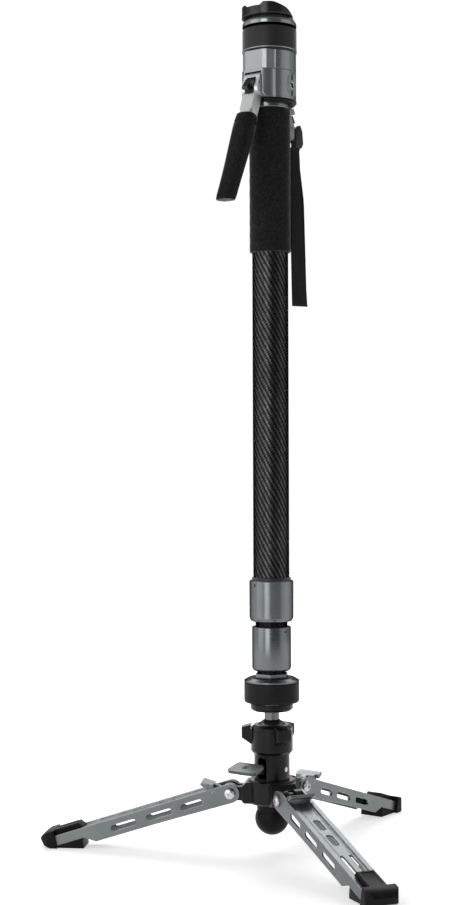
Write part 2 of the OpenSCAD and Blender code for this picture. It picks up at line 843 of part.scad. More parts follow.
// rounded nose that carries the lever, cut back at its foot so that the lever can pass
module lever_nose() {
    z1 = panel_z - fit;
    corner = (nose_f - 12) * 1.1;
    front(0)
        difference() {
            intersection() {
                union() {
                    translate([nose_f - 16, 2.2, housing_z]) cylinder(r = corner, h = z1 - housing_z);
                    translate([nose_f - 16, -2.2, housing_z]) cylinder(r = corner, h = z1 - housing_z);
                }
                translate([10, -40, housing_z]) cube([nose_f - 10, 80, z1 - housing_z]);
            }
            slab([[nose_f - 2.6, housing_z - 1], [nose_f - 2.2, housing_z], [nose_f + 1.6, housing_z + 7],
                [nose_f + 20, housing_z + 7], [nose_f + 20, housing_z - 1]], 90);
        }
}

module housing() {
    color([0.5, 0.51, 0.53])
        difference() {
            union() {
                difference() {
                    turned([[0, housing_z], [housing_r, housing_z], [housing_r, panel_z - fit],
                        [0, panel_z - fit]]);
                    front_relief(housing_z - 1, housing_h + 2);
                }
                lever_nose();
            }
            translate([0, 0, housing_z - 1]) cylinder(r = 10, h = housing_h - 4);
            lever_mouth(housing_z - 1, lever_z + 7.8, 13);
            front(0) translate([lever_r, 0, lever_z]) cross(lever_pin_r + fit, 2 * (yoke_w / 2 + 2.6));
            at_socket() {
                socket_shape(socket_end_r, 20);
                translate([0, 0, socket_t - thread_depth]) cylinder(r = boss_r + fit, h = thread_depth);
            }
        }
}

module accessory_socket() {
    color([0.42, 0.43, 0.45])
        at_socket()
            difference() {
                union() {
                    translate([0, 0, fit]) socket_shape(socket_end_r - fit, socket_t);
                    translate([0, 0, socket_t + fit - thread_depth]) cylinder(r = boss_r, h = thread_depth);
                }
                translate([0, 0, -2 * thread_depth]) cylinder(r = thread_r, h = 4 * thread_depth);
                for (s = [-1, 1])
                    translate([s * (socket_half + 3.7) - 2.7, -1.6, 1]) cube([5.4, 3.2, 10]);
            }
}

module panel_ring() {
    w = panel_w / 2;
    color([0.52, 0.53, 0.55])
        union() {
            difference() {
                turned([[0, panel_z], [housing_r - 1.5, panel_z], [housing_r - 1.5, panel_z + 0.6],
                    [housing_r, panel_z + 0.6],
                    [housing_r, panel_z + panel_h], [0, panel_z + panel_h]]);
                front_relief(panel_z - 1, panel_h + 2);
            }
            front(0) translate([0, 0, panel_z]) linear_extrude(panel_h)
                polygon([[10, -w - 8.4], [panel_f - 9.8, -w - 8.6], [panel_f - 1.8, -w - 4.1], [panel_f, -w],
                    [panel_f, w], [panel_f - 1.8, w + 4.1], [panel_f - 9.8, w + 8.6], [10, w + 8.4]]);
        }
}

module upper_rod() {
    color([0.62, 0.62, 0.64]) {
        translate([0, 0, plate_z - travel - 40]) cylinder(r = rod_r, h = travel + 42, $fn = 6);
        translate([0, 0, plate_z + 1]) cylinder(r = 5.6, h = plate_h + 1);
        translate([0, 0, housing_z + 1]) cylinder(r = 9, h = 12);
    }
}

// lever

module lever_pin() {
    color([0.65, 0.66, 0.68])
        front(0) translate([lever_r, 0, lever_z]) cross(lever_pin_r, 2 * (yoke_w / 2 + 2.4));
}

module lever_arm() {
    start = lever_len - lever_foam;
    color([0.56, 0.57, 0.59])
        at_lever()
            difference() {
                union() {
                    cross(7.4, yoke_w);
                    slab([[-6, 0], [7.2, 0], [7.4, -12], [5.4, -15.5], [-5.6, -15.5]], yoke_w);
                    slab([[-5.6, -14], [5.6, -14], [5.6, -start + 5], [-6.2, -start + 5]], 14.4);
                    for (x = [-1, 1])
                        for (y = [-1, 1])
                            translate([x * 2.8 - 0.9, y * 4.2, -start + 0.2]) cylinder(r = 3.8, h = 6);
                    translate([-3.7, -8, -start + 0.2]) cube([5.6, 16, 6]);
                    translate([-7.5, -4.2, -start + 0.2]) cube([13.2, 8.4, 6]);
                    translate([-0.9 - tongue_t / 2, -tongue_w / 2, -lever_len + 6])
                        cube([tongue_t, tongue_w, lever_foam]);
                }
                cross(lever_pin_r + run, 60);
                translate([-1, -5.6, -18]) cube([24, 11.2, 17.4]);
                translate([4.6, 0, -6]) cross(lock_pin_r + run, 60);
            }
}

module lever_grip() {
    r = 4.5;
    start = lever_len - lever_foam;
    color([0.08, 0.08, 0.085])
        at_lever() translate([-0.9, 0, -lever_len])
            difference() {
                union() {
                    translate([-lever_foam_t / 2 + r, -lever_foam_w / 2, 0])
                        cube([lever_foam_t - 2 * r, lever_foam_w, lever_foam]);
                    translate([-lever_foam_t / 2, -lever_foam_w / 2 + r, 0])
                        cube([lever_foam_t, lever_foam_w - 2 * r, lever_foam]);
                    for (x = [-1, 1])
                        for (y = [-1, 1])
                            translate([x * (lever_foam_t / 2 - r), y * (lever_foam_w / 2 - r), 0])
                                cylinder(r = r, h = lever_foam);
                }
                translate([-tongue_t / 2 - fit, -tongue_w / 2 - fit, 6 - fit])
                    cube([tongue_t + 2 * fit, tongue_w + 2 * fit, lever_foam]);
            }
}

module lever_lock() {
    color([0.1, 0.1, 0.105])
        at_lever() {
            translate([4.6, 0, -6]) cross(4.8, 10.4);
            translate([0, -2.2, 0])
                slab([[5.6, -3], [9, -3.4], [12.4, -14], [10, -15.8], [5, -9.6]], 6);
            translate([4.6, 0, -6]) cross(lock_pin_r, yoke_w - 1);
        }
}

// head

module lock_ring() {
    r = housing_r + 0.6;
    color([0.045, 0.045, 0.045])
        turned([[post_r + run, lock_z], [r - 0.8, lock_z], [r, lock_z + 0.8], [r, lock_z + lock_h - 1],
            [r - 1, lock_z + lock_h], [post_r + run, lock_z + lock_h]]);
}

module head_disc() {
    r = housing_r + 0.6;
    color([0.6, 0.61, 0.63])
        difference() {
            turned([[0, panel_z + panel_h + fit], [post_r, panel_z + panel_h + fit], [post_r, disc_z - 1.6],
                [r - 2.6, disc_z - 1.6], [r, disc_z + 0.4], [r, disc_z + 3.6], [r - 0.8, disc_z + 5.2],
                [r - 2.6, jaw_z], [0, jaw_z]]);
            translate([0, 0, disc_z]) cylinder(r = stud_foot_r + fit, h = 20);
        }
}

module head_jaw() {
    ro = housing_r + 1.2;
    color([0.05, 0.05, 0.055])
        difference() {
            union() {
                translate([0, 0, jaw_z + fit]) cylinder(r = ro - 4, h = jaw_floor);
                intersection() {
                    turned([[ro - 4.6, jaw_z + fit], [ro - 1.2, jaw_z + 1], [ro, jaw_z + 1.8],
                        [ro, jaw_top - 0.5], [ro - 0.5, jaw_top], [ro - 5.4, jaw_top],
                        [ro - 4, jaw_z + 3.4], [ro - 4.6, jaw_z + 3.4]]);
                    front(0)
                        slab([[40, jaw_z], [40, jaw_top], [21, jaw_top], [7.8, jaw_top - 5.4],
                            [-0.5, jaw_z + 0.8], [-0.5, jaw_z]], 80);
                }
            }
            front(dip_turn) translate([ro - 12, 0, 0]) rotate([90, 0, 90]) linear_extrude(30)
                polygon([[-dip_w / 2, jaw_z + dip_h], [dip_w / 2, jaw_z + dip_h],
                    [dip_w / 2 + 3.2, jaw_top + 0.4], [-dip_w / 2 - 0.8, jaw_top + 0.4]]);
            translate([0, 0, jaw_z - 1]) cylinder(r = stud_foot_r + fit, h = 20);
            pawl_track(gap, 20);
        }
}

module head_stud() {
    color([0.68, 0.69, 0.71]) {
        translate([0, 0, disc_z + fit]) cylinder(r = stud_foot_r, h = disc_h + jaw_floor);
        translate([0, 0, disc_z + disc_h]) cylinder(r = stud_r, h = jaw_floor + stud_free);
    }
}

// radial way for the pawl behind the stud
module pawl_track(c, l) {
    front(180) translate([10 - c, -5 - c, jaw_z + 1.2 - c]) cube([l, 10 + 2 * c, 10]);
}

module jaw_pawl() {
    color([0.6, 0.61, 0.63])
        front(180) slab([[10, jaw_z + 1.2], [19, jaw_z + 1.2], [19, jaw_z + 6.5], [16, jaw_z + 6.5],
            [14.6, jaw_z + 3.4], [10, jaw_z + 3.4]], 10);
}

// wrist strap

module strap_lug() {
    color([0.55, 0.56, 0.58])
        front(strap_turn)
            difference() {
                slab([[grip_r + 0.1, neck_z + 0.8], [grip_r + 0.1, plate_z - 0.4],
                    [grip_r + 5.6, plate_z - 0.9], [grip_r + 7.6, neck_z - 1.4],
                    [grip_r + 6.6, neck_z - 2.2], [grip_r + 2.4, neck_z - 3.2],
                    [grip_r + 6.6, neck_z - 14.4], [grip_r + 6.6, neck_z - 24.5],
                    [grip_r + 3, neck_z - 31], [grip_r + 0.4, neck_z - 31]], 6);
                translate([grip_r + 3, 0, neck_z - 16]) rotate([90, 0, 0])
                    translate([0, 0, -10]) cylinder(r = 1.4, h = 20);
            }
}

module strap_buckle() {
    x = grip_r + 7.3;
    color([0.05, 0.05, 0.05])
        front(strap_turn)
            difference() {
                slab([[x, neck_z - 16], [x + 2, neck_z - 13.4], [x + 5.4, neck_z - 12.6],
                    [x + 7.8, neck_z - 19], [x + 8.8, buckle_low + 7], [x + 7, buckle_low],
                    [x, buckle_low]], 9);
                translate([x - 5, -1.8, neck_z - 37]) cube([20, 3.6, 8]);
                translate([x - 5, -1.8, neck_z - 24]) cube([20, 3.6, 6]);
            }
}

module strap() {
    x = grip_r + 2;
    top = buckle_low - gap;
    foot_z = top - strap_drop;
    color([0.07, 0.07, 0.075])
        front(strap_turn)
            difference() {
                slab([[x, top], [x + 8.5, top], [x + strap_w + 1.4, top - strap_flare],
                    [x + strap_w + 2.4, foot_z], [x + 2.4, foot_z],
                    [x + 0.6, top - strap_flare]], 2 * strap_t + 1.6);
                slab([[x - 5, top + 5], [x + 40, top + 5], [x + 40, foot_z + strap_t],
                    [x - 5, foot_z + strap_t]], 1.6);
            }
}

base_hub();
foot_stud();
bumper();
base_tube();
leg_pins();
socket_body();
socket_cap();
pedal_pin();
pedal_arm();
pedal_plate();
pedal_screw();
brake_plunger();
leg_left();
leg_right();
leg_rear();
foot_left();
foot_right();
foot_rear();
latch_left();
latch_right();
latch_rear();
ball_liner();
ball_stem();
pan_flange();
pan_core();
pan_plate();
hex_collar();
pan_ring();
lower_tube();
lower_clutch();
middle_tube();
middle_collar();
middle_bush();
middle_screw();
middle_clutch();
middle_rod();
upper_tube();
upper_collar();
upper_bush();
upper_screw();
tube_seal();
grip();
neck_ring();
housing_plate();
housing();
panel_ring();
accessory_socket();
upper_rod();
lever_pin();
lever_arm();
lever_grip();
lever_lock();
lock_ring();
head_disc();
head_jaw();
head_stud();
jaw_pawl();
strap_lug();
strap_buckle();
strap();
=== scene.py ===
import math

import bpy
from mathutils import Matrix, Vector


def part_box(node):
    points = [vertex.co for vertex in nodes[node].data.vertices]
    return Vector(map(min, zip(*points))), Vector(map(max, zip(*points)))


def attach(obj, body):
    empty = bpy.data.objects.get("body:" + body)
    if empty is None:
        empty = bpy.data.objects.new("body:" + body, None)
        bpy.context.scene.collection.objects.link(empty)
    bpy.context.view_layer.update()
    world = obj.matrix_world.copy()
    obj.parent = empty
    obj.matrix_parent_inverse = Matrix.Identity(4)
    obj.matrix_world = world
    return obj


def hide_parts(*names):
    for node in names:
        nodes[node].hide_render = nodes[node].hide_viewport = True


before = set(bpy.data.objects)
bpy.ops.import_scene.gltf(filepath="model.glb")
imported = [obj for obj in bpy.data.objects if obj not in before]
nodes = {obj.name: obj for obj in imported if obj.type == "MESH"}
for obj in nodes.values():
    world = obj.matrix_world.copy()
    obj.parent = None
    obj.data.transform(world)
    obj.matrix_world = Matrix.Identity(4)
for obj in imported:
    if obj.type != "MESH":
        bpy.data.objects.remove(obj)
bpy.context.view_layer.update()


# Hub, ball housing and pedal arm: cast and turned alloy with a black satin anodised skin.
# The skin is even, with a fine blasted grain; its sharp edges are painted grey, partly wear and partly
# painted highlight.
def start_finish(name, metallic, roughness, gloss=0.5):
    finish = bpy.data.materials.new(name)
    finish.use_nodes = True
    tree = finish.node_tree
    shader = tree.nodes["Principled BSDF"]
    shader.inputs["Metallic"].default_value = metallic
    shader.inputs["Roughness"].default_value = roughness
    shader.inputs["Specular IOR Level"].default_value = gloss
    place = tree.nodes.new("ShaderNodeTexCoord").outputs["Object"]
    return finish, tree, shader, place


def scaled_place(tree, place, scale, turn=0.0):
    mapping = tree.nodes.new("ShaderNodeMapping")
    mapping.inputs["Scale"].default_value = scale
    mapping.inputs["Rotation"].default_value = (0, 0, turn)
    tree.links.new(place, mapping.inputs["Vector"])
    return mapping.outputs["Vector"]


def noise(tree, place, scale, detail=3.0):
    cloud = tree.nodes.new("ShaderNodeTexNoise")
    cloud.inputs["Scale"].default_value = scale
    cloud.inputs["Detail"].default_value = detail
    tree.links.new(place, cloud.inputs["Vector"])
    return cloud.outputs["Fac"]


def spread(tree, value, low, high, to_low, to_high):
    ramp = tree.nodes.new("ShaderNodeMapRange")
    for socket, number in (("From Min", low), ("From Max", high), ("To Min", to_low), ("To Max", to_high)):
        ramp.inputs[socket].default_value = number
    tree.links.new(value, ramp.inputs["Value"])
    return ramp.outputs["Result"]


def tint(tree, amount, dark, light):
    blend = tree.nodes.new("ShaderNodeMix")
    blend.data_type = "RGBA"
    blend.inputs["A"].default_value = (*dark, 1)
    blend.inputs["B"].default_value = (*light, 1)
    tree.links.new(amount, blend.inputs["Factor"])
    return blend.outputs["Result"]


def cover(tree, amount, under, over):
    blend = tree.nodes.new("ShaderNodeMix")
    blend.data_type = "RGBA"
    blend.inputs["B"].default_value = (*over, 1)
    tree.links.new(under, blend.inputs["A"])
    tree.links.new(amount, blend.inputs["Factor"])
    return blend.outputs["Result"]


def arith(tree, kind, first, second=None):
    step = tree.nodes.new("ShaderNodeMath")
    step.operation = kind
    for socket, value in zip(step.inputs, (first, second)):
        if isinstance(value, (int, float)):
            socket.default_value = value
        elif value is not None:
            tree.links.new(value, socket)
    return step.outputs["Value"]


# Edge mask from the Bevel node: the edge colour laid on it is partly wear and partly painted highlight, and
# painted shade where that colour is dark.
def edge_wear_and_painted_light(tree, width):
    rounded = tree.nodes.new("ShaderNodeBevel")
    rounded.samples = 6
    rounded.inputs["Radius"].default_value = width
    flat = tree.nodes.new("ShaderNodeNewGeometry")
    dot = tree.nodes.new("ShaderNodeVectorMath")
    dot.operation = "DOT_PRODUCT"
    tree.links.new(rounded.outputs["Normal"], dot.inputs[0])
    tree.links.new(flat.outputs["Normal"], dot.inputs[1])
    return spread(tree, dot.outputs["Value"], 0.985, 0.88, 0.0, 1.0), rounded.outputs["Normal"]


def raise_grain(tree, shader, height, depth, under=None):
    bump = tree.nodes.new("ShaderNodeBump")
    bump.inputs["Strength"].default_value = 1.0
    bump.inputs["Distance"].default_value = depth
    tree.links.new(height, bump.inputs["Height"])
    if under is not None:
        tree.links.new(under, bump.inputs["Normal"])
    tree.links.new(bump.outputs["Normal"], shader.inputs["Normal"])


def anodised(name, dark, light, edge, metallic, rough, grain, depth, lines=None, ease=0.0006, gloss=0.5,
             rim=0.06):
    finish, tree, shader, place = start_finish(name, metallic, rough[0], gloss)
    blotch = noise(tree, place, 55, 4)
    speck = noise(tree, place if lines is None else scaled_place(tree, place, lines), grain, 2)
    edge_mask, eased = edge_wear_and_painted_light(tree, ease)
    edge_cover = arith(tree, "MULTIPLY", edge_mask, spread(tree, noise(tree, place, 160, 4), 0.35, 0.7, 0.25, 1.0))
    skin = tint(tree, spread(tree, blotch, 0.35, 0.65, 0.0, 1.0), dark, light)
    # The edge colour is partly wear and partly painted highlight; a dark edge colour is painted shade.
    tree.links.new(cover(tree, edge_cover, skin, edge), shader.inputs["Base Color"])
    tree.links.new(spread(tree, speck, 0.3, 0.7, rough[0], rough[1]), shader.inputs["Roughness"])
    raise_grain(tree, shader, speck, depth, eased)
    if metallic > 0.5:
        shader.inputs["Specular Tint"].default_value = (rim, rim, rim, 1)
    return finish


def dress(finish, *names):
    for name in names:
        for place in nodes[name].material_slots:
            place.material = finish


black_skin = anodised("black_anodised", (0.0032, 0.0032, 0.0035), (0.0055, 0.0055, 0.006),
                      (0.09, 0.09, 0.094), 0.0, (0.2, 0.28), 2600, 0.000006, gloss=0.22)
dress(black_skin, "base_hub", "base_tube", "socket_body", "socket_cap", "pedal_arm", "pan_flange")


# Leg pins, pedal pin and studs: turned steel left bright, with socket heads.
# Fine turning lines and a soft wear keep them from looking like mirrors.
bright_steel = anodised("turned_steel", (0.52, 0.52, 0.53), (0.64, 0.64, 0.65), (0.8, 0.8, 0.81),
                        1.0, (0.2, 0.34), 3200, 0.00001, ease=0.0003)
dress(bright_steel, "leg_pins", "pedal_pin", "foot_stud", "head_stud", "jaw_pawl", "lever_pin",
      "brake_plunger", "pan_core")


# Rubber ball under the hub, housing plate, pan band and lock ring: moulded black rubber.
# The skin is matt with a faint mould texture and a dusty bloom.
def moulded_rubber(name, dark, light, rough, depth, gloss=0.1):
    finish, tree, shader, place = start_finish(name, 0.0, rough[0], gloss)
    bloom = noise(tree, place, 40, 5)
    pits = noise(tree, place, 2400, 2)
    edge_mask, eased = edge_wear_and_painted_light(tree, 0.0008)
    skin = tint(tree, spread(tree, bloom, 0.35, 0.7, 0.0, 1.0), dark, light)
    edge_cover = arith(tree, "MULTIPLY", edge_mask, spread(tree, noise(tree, place, 220, 3), 0.4, 0.7, 0.1, 0.6))
    tree.links.new(cover(tree, edge_cover, skin, (0.035, 0.035, 0.037)), shader.inputs["Base Color"])
    tree.links.new(spread(tree, pits, 0.3, 0.7, rough[0], rough[1]), shader.inputs["Roughness"])
    raise_grain(tree, shader, pits, depth, eased)
    return finish


black_rubber = moulded_rubber("moulded_rubber", (0.0045, 0.0045, 0.0045), (0.0075, 0.0075, 0.0075),
                              (0.38, 0.5), 0.00003)
band_rubber = moulded_rubber("band_rubber", (0.010, 0.0098, 0.010), (0.013, 0.0128, 0.013),
                             (0.44, 0.54), 0.00002)
lock_rubber = moulded_rubber("lock_rubber", (0.0145, 0.0142, 0.0145), (0.019, 0.0187, 0.019),
                             (0.42, 0.5), 0.00002, 0.25)
dress(black_rubber, "bumper", "housing_plate")
dress(band_rubber, "pan_ring")
dress(lock_rubber, "lock_ring")


# Legs, latches and pedal plate: extruded alloy channels, bead blasted and anodised grey.
# The blasted grain is fine and even; the cut edges are painted paler, partly bare metal and partly painted
# highlight.
leg_skin = anodised("leg_anodised", (0.155, 0.168, 0.172), (0.175, 0.188, 0.192), (0.7, 0.72, 0.73),
                    0.9, (0.3, 0.4), 1800, 0.000006, ease=0.001, rim=1.0)
dress(leg_skin, "leg_left", "leg_right", "leg_rear", "latch_left", "latch_right", "latch_rear")
# The pedal plate takes a darker copy of the same grey, as painted shade.
pedal_shaded_skin = anodised("pedal_anodised_painted_shade", (0.075, 0.081, 0.083), (0.09, 0.096, 0.098), (0.3, 0.31, 0.32),
                      0.9, (0.34, 0.44), 1800, 0.000006, ease=0.0005, rim=1.0)
dress(pedal_shaded_skin, "pedal_plate")


# Rubber feet: moulded over the end of each channel, with a thick pad on the top.
# Every edge is rounded by the mould and the pad has a shallow sunken panel.
LEG_TURNS = {"left": math.radians(210), "right": math.radians(330), "rear": math.radians(90)}
LEG_SLOPE = math.radians(17.5)
FOOT_EASE = 0.0011
PAD_REACH, PANEL_INSET, PANEL_SINK = 0.2, 0.0022, 0.0005


def only(piece):
    bpy.ops.object.select_all(action="DESELECT")
    piece.select_set(True)
    bpy.context.view_layer.objects.active = piece


def loose_copy(node, name):
    piece = nodes[node].copy()
    piece.data = nodes[node].data.copy()
    piece.name = name
    piece.data.name = name
    piece.parent = None
    for key in list(piece.keys()):
        if key.startswith("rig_"):
            del piece[key]
    bpy.context.scene.collection.objects.link(piece)
    only(piece)
    bpy.ops.object.mode_set(mode="EDIT")
    bpy.ops.mesh.select_all(action="SELECT")
    bpy.ops.mesh.remove_doubles(threshold=0.000002)
    bpy.ops.mesh.dissolve_limited(angle_limit=math.radians(0.6))
    bpy.ops.object.mode_set(mode="OBJECT")
    return piece


def pick_faces(piece, wanted):
    bpy.ops.object.mode_set(mode="EDIT")
    bpy.ops.mesh.select_mode(type="FACE")
    bpy.ops.mesh.select_all(action="DESELECT")
    bpy.ops.object.mode_set(mode="OBJECT")
    for face in piece.data.polygons:
        face.select = wanted(face)
    bpy.ops.object.mode_set(mode="EDIT")


def round_edges(piece, width):
    only(piece)
    ease = piece.modifiers.new("ease", "BEVEL")
    ease.width = width
    ease.segments = 3
    ease.limit_method = "ANGLE"
    ease.angle_limit = math.radians(32)
    ease.use_clamp_overlap = True
    bpy.ops.object.modifier_apply(modifier="ease")
    bpy.ops.object.shade_smooth_by_angle(angle=math.radians(40))


for side, turn in LEG_TURNS.items():
    up = Vector((math.sin(LEG_SLOPE) * math.cos(turn), math.sin(LEG_SLOPE) * math.sin(turn),
                 math.cos(LEG_SLOPE)))
    foot = loose_copy("foot_" + side, "rubber_foot_" + side)
    top = max(up.dot(v.co) for v in foot.data.vertices if v.co.xy.length < PAD_REACH)
    pick_faces(foot, lambda face: face.normal.dot(up) > 0.99 and abs(up.dot(face.center) - top) < 0.0003)
    bpy.ops.mesh.inset(thickness=PANEL_INSET)
    bpy.ops.mesh.extrude_region_move(TRANSFORM_OT_translate={"value": tuple(-PANEL_SINK * up)})
    bpy.ops.object.mode_set(mode="OBJECT")
    round_edges(foot, FOOT_EASE)
    foot.data.materials.clear()
    foot.data.materials.append(black_rubber)
    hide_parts("foot_" + side)
    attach(foot, side + "_leg")


# Ball stem, pan plate, hexagon, collars, neck ring, housing, accessory plate and jaw: turned alloy.
# All are anodised, the jaw almost black and the rest grey.
# Turning marks run round the axis, too fine to count, and give each piece its soft upright gleam.
turned_skin = anodised("turned_anodised", (0.165, 0.176, 0.181), (0.18, 0.191, 0.196), (0.42, 0.44, 0.45),
                       0.95, (0.23, 0.28), 90, 0.0000015, lines=(1, 1, 60), ease=0.0005)
dress(turned_skin, "ball_stem", "pan_plate", "hex_collar", "middle_collar", "upper_collar", "neck_ring")
housing_skin = anodised("housing_anodised", (0.262, 0.276, 0.282), (0.282, 0.296, 0.302), (0.6, 0.62, 0.63),
                        0.92, (0.27, 0.32), 700, 0.0000012, ease=0.0005)
dress(housing_skin, "housing", "panel_ring")
jaw_skin = anodised("jaw_anodised", (0.04, 0.0405, 0.0415), (0.048, 0.0485, 0.0495), (0.18, 0.18, 0.185),
                    0.85, (0.22, 0.28), 1800, 0.000006, ease=0.0006)
dress(jaw_skin, "head_jaw")
# The accessory plate's edges are painted near black, as painted shade in the gap round the plate.
socket_skin = anodised("socket_anodised", (0.27, 0.284, 0.29), (0.29, 0.304, 0.31), (0.05, 0.052, 0.054),
                       0.92, (0.27, 0.32), 700, 0.0000012, ease=0.0007, rim=0.5)
dress(socket_skin, "accessory_socket")


# Lever, its lock and the strap lug: the same alloy in shades of their own, pale, near black and cast grey.
# The lever is smoothed before the anodising; the lug is left as cast, so it gleams less.
lever_skin = anodised("lever_anodised", (0.62, 0.63, 0.635), (0.66, 0.67, 0.675), (0.78, 0.79, 0.8),
                      0.88, (0.34, 0.4), 900, 0.000003, ease=0.0006)
dress(lever_skin, "lever_arm")
catch_skin = anodised("catch_anodised", (0.045, 0.046, 0.048), (0.06, 0.061, 0.063), (0.3, 0.305, 0.31),
                      0.85, (0.3, 0.38), 1800, 0.000006, ease=0.0007)
dress(catch_skin, "lever_lock")
lug_skin = anodised("lug_cast", (0.3, 0.31, 0.312), (0.36, 0.37, 0.372), (0.6, 0.61, 0.615),
                    0.35, (0.4, 0.5), 900, 0.00001, ease=0.0006)
dress(lug_skin, "strap_lug")


# Head disc: turned from the same alloy, its rim polished pale. Its downward faces are painted near black as
# painted shade, which makes a dark seam between the disc and the lock ring.
disc_skin = anodised("disc_anodised", (0.25, 0.265, 0.27), (0.28, 0.295, 0.3), (0.5, 0.52, 0.53),
                     0.95, (0.2, 0.25), 700, 0.0000012, ease=0.0006)
disc_tree = disc_skin.node_tree
disc_shader = disc_tree.nodes["Principled BSDF"]
facing_down = disc_tree.nodes.new("ShaderNodeSeparateXYZ")
disc_tree.links.new(disc_tree.nodes.new("ShaderNodeNewGeometry").outputs["Normal"],
                    facing_down.inputs["Vector"])
unshaded_rim = disc_shader.inputs["Base Color"].links[0].from_socket
# Painted shade: faces turned downwards are painted near black.
painted_shade_under_disc = spread(disc_tree, facing_down.outputs["Z"], -0.3, -0.6, 0.0, 1.0)
disc_tree.links.new(cover(disc_tree, painted_shade_under_disc, unshaded_rim, (0.008, 0.008, 0.0085)),
                    disc_shader.inputs["Base Color"])
dress(disc_skin, "head_disc")


# Hidden running pieces: nylon liner and plastic clutches, bushes, seal and screws, all moulded or turned.
# They show only in the gaps, so their skins are plain and matt with a faint grain.
def moulded_plastic(name, dark, light, rough):
    finish, tree, shader, place = start_finish(name, 0.0, rough[0], 0.4)
    cloud = noise(tree, place, 90, 4)
    pits = noise(tree, place, 2200, 2)
    tree.links.new(tint(tree, spread(tree, cloud, 0.35, 0.65, 0.0, 1.0), dark, light),
                   shader.inputs["Base Color"])
    tree.links.new(spread(tree, pits, 0.3, 0.7, rough[0], rough[1]), shader.inputs["Roughness"])
    raise_grain(tree, shader, pits, 0.00002)
    return finish


black_plastic = moulded_plastic("black_plastic", (0.012, 0.012, 0.013), (0.02, 0.02, 0.021), (0.36, 0.5))
pale_nylon = moulded_plastic("pale_nylon", (0.55, 0.55, 0.5), (0.62, 0.62, 0.57), (0.4, 0.55))
dress(black_plastic, "lower_clutch", "middle_clutch", "middle_bush", "upper_bush", "tube_seal",
      "middle_screw", "upper_screw", "pedal_screw")
dress(pale_nylon, "ball_liner")
dress(bright_steel, "middle_rod", "upper_rod")


# Carbon tubes: rolled cloth in clear resin, woven two over two, so slanting bands climb each tube.
# The bands come from the tows lying over and under each other; the gleam of the over tows is painted into
# the base colour as painted reflection, brightest on the upper tube, and the gaps stay dark.
TOW_WIDE, TOW_TALL = 0.00118, 0.0021


def carbon_cloth(name, radius, gleam):
    finish, tree, shader, place = start_finish(name, 1.0, 0.28)
    split = tree.nodes.new("ShaderNodeSeparateXYZ")
    tree.links.new(place, split.inputs["Vector"])
    tows = 4 * round(2 * math.pi * radius / TOW_WIDE / 4)
    bearing = arith(tree, "ARCTAN2", split.outputs["Y"], split.outputs["X"])
    around = arith(tree, "MULTIPLY", bearing, tows / (2 * math.pi))
    along = arith(tree, "DIVIDE", split.outputs["Z"], TOW_TALL)
    column, row = arith(tree, "FLOOR", around), arith(tree, "FLOOR", along)
    step = arith(tree, "FLOORED_MODULO", arith(tree, "ADD", column, row), 4.0)
    over = arith(tree, "LESS_THAN", step, 1.5)
    cell = tree.nodes.new("ShaderNodeCombineXYZ")
    tree.links.new(column, cell.inputs["X"])
    tree.links.new(row, cell.inputs["Y"])
    luck = tree.nodes.new("ShaderNodeTexWhiteNoise")
    tree.links.new(cell.outputs["Vector"], luck.inputs["Vector"])
    heights = []
    for line in (around, along):
        middle = arith(tree, "SUBTRACT", arith(tree, "FRACT", line), 0.5)
        heights.append(arith(tree, "SUBTRACT", 0.25, arith(tree, "MULTIPLY", middle, middle)))
    crown = tree.nodes.new("ShaderNodeMix")
    tree.links.new(over, crown.inputs["Factor"])
    tree.links.new(heights[1], crown.inputs["A"])
    tree.links.new(heights[0], crown.inputs["B"])
    strands = noise(tree, scaled_place(tree, place, (1, 1, 0.06)), 2600, 2)
    cloud = noise(tree, place, 28, 3)
    # Painted reflection: the over tows are painted brighter than the under tows.
    lit = arith(tree, "MULTIPLY", spread(tree, over, 0.0, 1.0, 0.1, 1.0),
                spread(tree, luck.outputs["Value"], 0, 1, 0.5, 1))
    shine = arith(tree, "MULTIPLY", lit, spread(tree, strands, 0.3, 0.7, 0.55, 1.0))
    shade = arith(tree, "MULTIPLY", shine, spread(tree, cloud, 0.3, 0.7, 0.7, 1.0))
    tree.links.new(tint(tree, shade, (0.006, 0.006, 0.0065), (gleam, gleam, gleam * 1.02)),
                   shader.inputs["Base Color"])
    tree.links.new(spread(tree, over, 0.0, 1.0, 0.34, 0.27), shader.inputs["Roughness"])
    raise_grain(tree, shader, crown.outputs["Result"], 0.0002)
    shader.inputs["Specular Tint"].default_value = (0.05, 0.05, 0.05, 1)
    return finish


for tube, radius, gleam in (("lower_tube", 0.014, 0.018), ("middle_tube", 0.016, 0.022),
                            ("upper_tube", 0.018, 0.125)):
    dress(carbon_cloth("carbon_" + tube, radius, gleam), tube)


# Collar of the middle tube: the same turned alloy, carried on at both ends to narrow the gaps beside it.
# A small black grub screw sits close to its top rim.
def new_piece(name):
    piece = bpy.context.object
    piece.name = name
    piece.data.name = name
    return piece


TURNED_STEPS = 128


def turned_piece(name, outline):
    radius, height = outline[0]
    bpy.ops.object.select_all(action="DESELECT")
    bpy.ops.mesh.primitive_circle_add(vertices=TURNED_STEPS, radius=radius, location=(0, 0, 0))
    piece = new_piece(name)
    bpy.ops.object.mode_set(mode="EDIT")
    bpy.ops.mesh.select_all(action="SELECT")
    bpy.ops.transform.translate(value=(0, 0, height))
    for wide, level in outline[1:]:
        bpy.ops.mesh.extrude_edges_move(TRANSFORM_OT_translate={"value": (0, 0, level - height)})
        bpy.ops.transform.resize(value=(wide / radius, wide / radius, 1), center_override=(0, 0, level))
        radius, height = wide, level
    bpy.ops.mesh.select_all(action="SELECT")
    bpy.ops.mesh.remove_doubles(threshold=0.000002)
    bpy.ops.mesh.normals_make_consistent(inside=False)
    bpy.ops.object.mode_set(mode="OBJECT")
    bpy.ops.object.shade_smooth_by_angle(angle=math.radians(50))
    return piece


